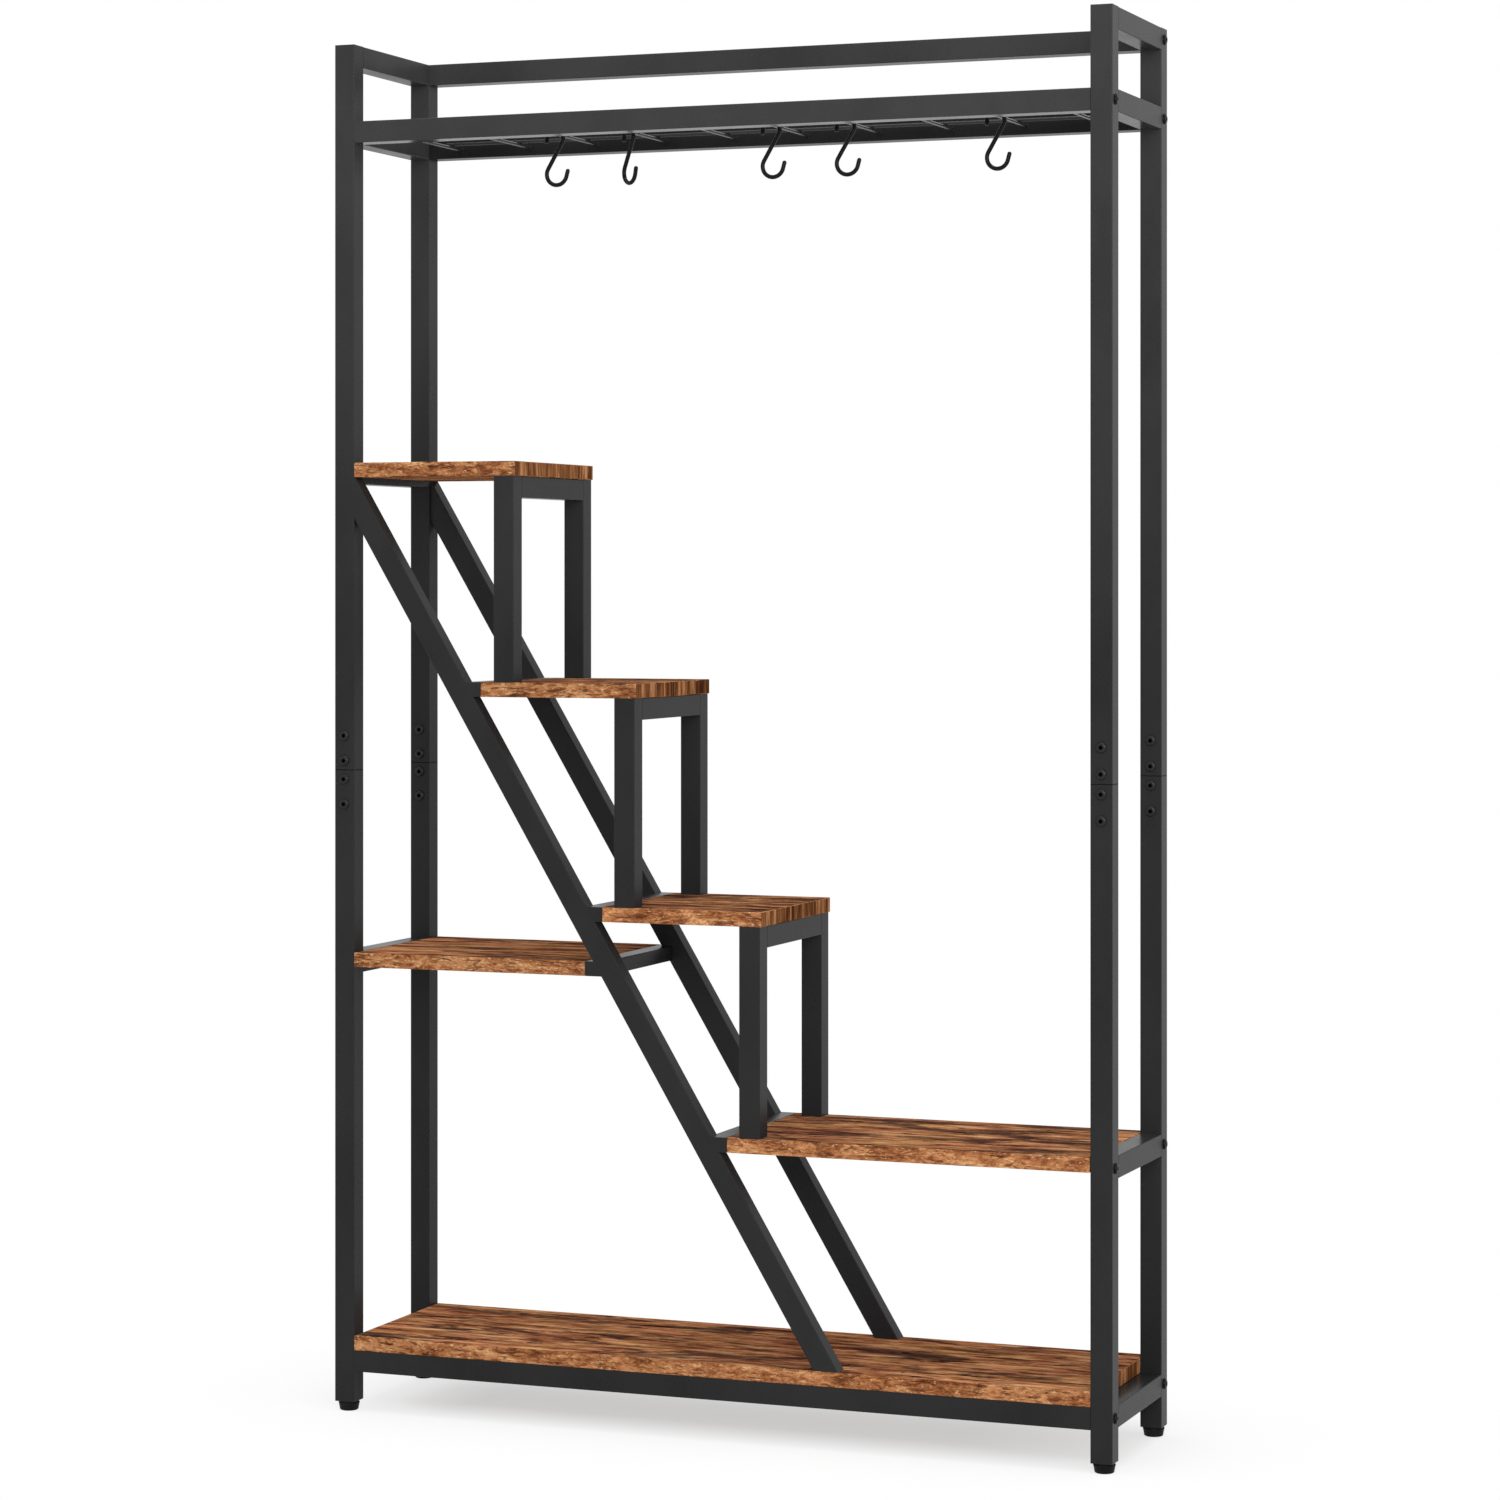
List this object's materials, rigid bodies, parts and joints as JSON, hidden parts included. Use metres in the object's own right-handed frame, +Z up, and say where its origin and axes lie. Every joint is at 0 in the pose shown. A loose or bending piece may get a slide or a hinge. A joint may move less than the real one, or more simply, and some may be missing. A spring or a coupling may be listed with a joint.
{
  "type": "plant rack",
  "caption": "Tall open black steel plant rack with a rising staircase of wooden steps, a small side shelf, a floor board, and a hanging wire grid with S-hooks.",
  "frame": {"origin": "centre of the bounding box's footprint, on the floor under the levelling feet", "axes": "+X to the right along the boards, +Y from the open front to the rear, +Z up"},
  "size_m": [1.006, 0.243, 1.695],
  "materials": {
    "frame_steel": "matt black powder coat",
    "grid_wire": "matt black powder coat",
    "hook_steel": "satin black paint",
    "bolt_steel": "black finish, satin",
    "plated_steel": "zinc plated",
    "foot_plastic": "moulded black",
    "plug_plastic": "moulded black",
    "board_wood": "rustic brown wood grain, low gloss"
  },
  "bodies": {
    "frame": {"board_bushes": "plated_steel", "floor_board": "board_wood", "foot_inserts": "plug_plastic", "front_bottom_rail": "frame_steel", "front_grid_rail": "frame_steel", "front_stringer": "frame_steel", "grid_cross_wires": "grid_wire", "grid_long_wires": "grid_wire", "left_bottom_crossbar": "frame_steel", "left_front_upright_lower": "frame_steel", "left_front_upright_upper": "frame_steel", "left_grid_crossbar": "frame_steel", "left_rear_upright_lower": "frame_steel", "left_rear_upright_upper": "frame_steel", "left_shelf_crossbar": "frame_steel", "left_step_crossbar": "frame_steel", "left_top_crossbar": "frame_steel", "low_leg_posts": "frame_steel", "low_leg_rail": "frame_steel", "low_step_board": "board_wood", "low_step_crossbar": "frame_steel", "middle_leg_posts": "frame_steel", "middle_leg_rail": "frame_steel", "rail_inserts": "plated_steel", "rear_bottom_rail": "frame_steel", "rear_grid_rail": "frame_steel", "rear_stringer": "frame_steel", "rear_top_rail": "frame_steel", "right_bottom_crossbar": "frame_steel", "right_front_upright_lower": "frame_steel", "right_front_upright_upper": "frame_steel", "right_grid_crossbar": "frame_steel", "right_rear_upright_lower": "frame_steel", "right_rear_upright_upper": "frame_steel", "right_step_crossbar": "frame_steel", "right_top_crossbar": "frame_steel", "seam_screws": "bolt_steel", "second_step_board": "board_wood", "second_step_crossbar": "frame_steel", "side_bolts": "bolt_steel", "side_shelf_board": "board_wood", "side_shelf_crossbar": "frame_steel", "step_pins": "plated_steel", "third_step_board": "board_wood", "third_step_crossbar": "frame_steel", "top_leg_posts": "frame_steel", "top_leg_rail": "frame_steel", "top_plugs": "plug_plastic", "top_step_board": "board_wood", "underside_screws": "plated_steel", "upright_couplers": "plated_steel"},
    "hook_1": {"hook_1": "hook_steel"},
    "hook_2": {"hook_2": "hook_steel"},
    "hook_3": {"hook_3": "hook_steel"},
    "hook_4": {"hook_4": "hook_steel"},
    "hook_5": {"hook_5": "hook_steel"},
    "left_front_foot": {"left_front_foot": "foot_plastic"},
    "left_rear_foot": {"left_rear_foot": "foot_plastic"},
    "right_front_foot": {"right_front_foot": "foot_plastic"},
    "right_rear_foot": {"right_rear_foot": "foot_plastic"}
  },
  "joints": [
    {"name": "hook_1_swing", "type": "hinge", "parent": "frame", "child": "hook_1", "pos_m": [-0.23675, -0.0385, 1.583], "axis": [0, 1, 0], "range_deg": [-60, 60]},
    {"name": "hook_2_swing", "type": "hinge", "parent": "frame", "child": "hook_2", "pos_m": [-0.14205, -0.0285, 1.583], "axis": [0, 1, 0], "range_deg": [-60, 60]},
    {"name": "hook_3_swing", "type": "hinge", "parent": "frame", "child": "hook_3", "pos_m": [0.04735, -0.0335, 1.583], "axis": [0, 1, 0], "range_deg": [-60, 60]},
    {"name": "hook_4_swing", "type": "hinge", "parent": "frame", "child": "hook_4", "pos_m": [0.14205, -0.0305, 1.583], "axis": [0, 1, 0], "range_deg": [-60, 60]},
    {"name": "hook_5_swing", "type": "hinge", "parent": "frame", "child": "hook_5", "pos_m": [0.33145, -0.0305, 1.583], "axis": [0, 1, 0], "range_deg": [-60, 60]},
    {"name": "left_front_foot_screw", "type": "slide", "parent": "frame", "child": "left_front_foot", "axis": [0, 0, -1], "range_m": [0, 0.01]},
    {"name": "left_rear_foot_screw", "type": "slide", "parent": "frame", "child": "left_rear_foot", "axis": [0, 0, -1], "range_m": [0, 0.01]},
    {"name": "right_front_foot_screw", "type": "slide", "parent": "frame", "child": "right_front_foot", "axis": [0, 0, -1], "range_m": [0, 0.01]},
    {"name": "right_rear_foot_screw", "type": "slide", "parent": "frame", "child": "right_rear_foot", "axis": [0, 0, -1], "range_m": [0, 0.01]}
  ]
}
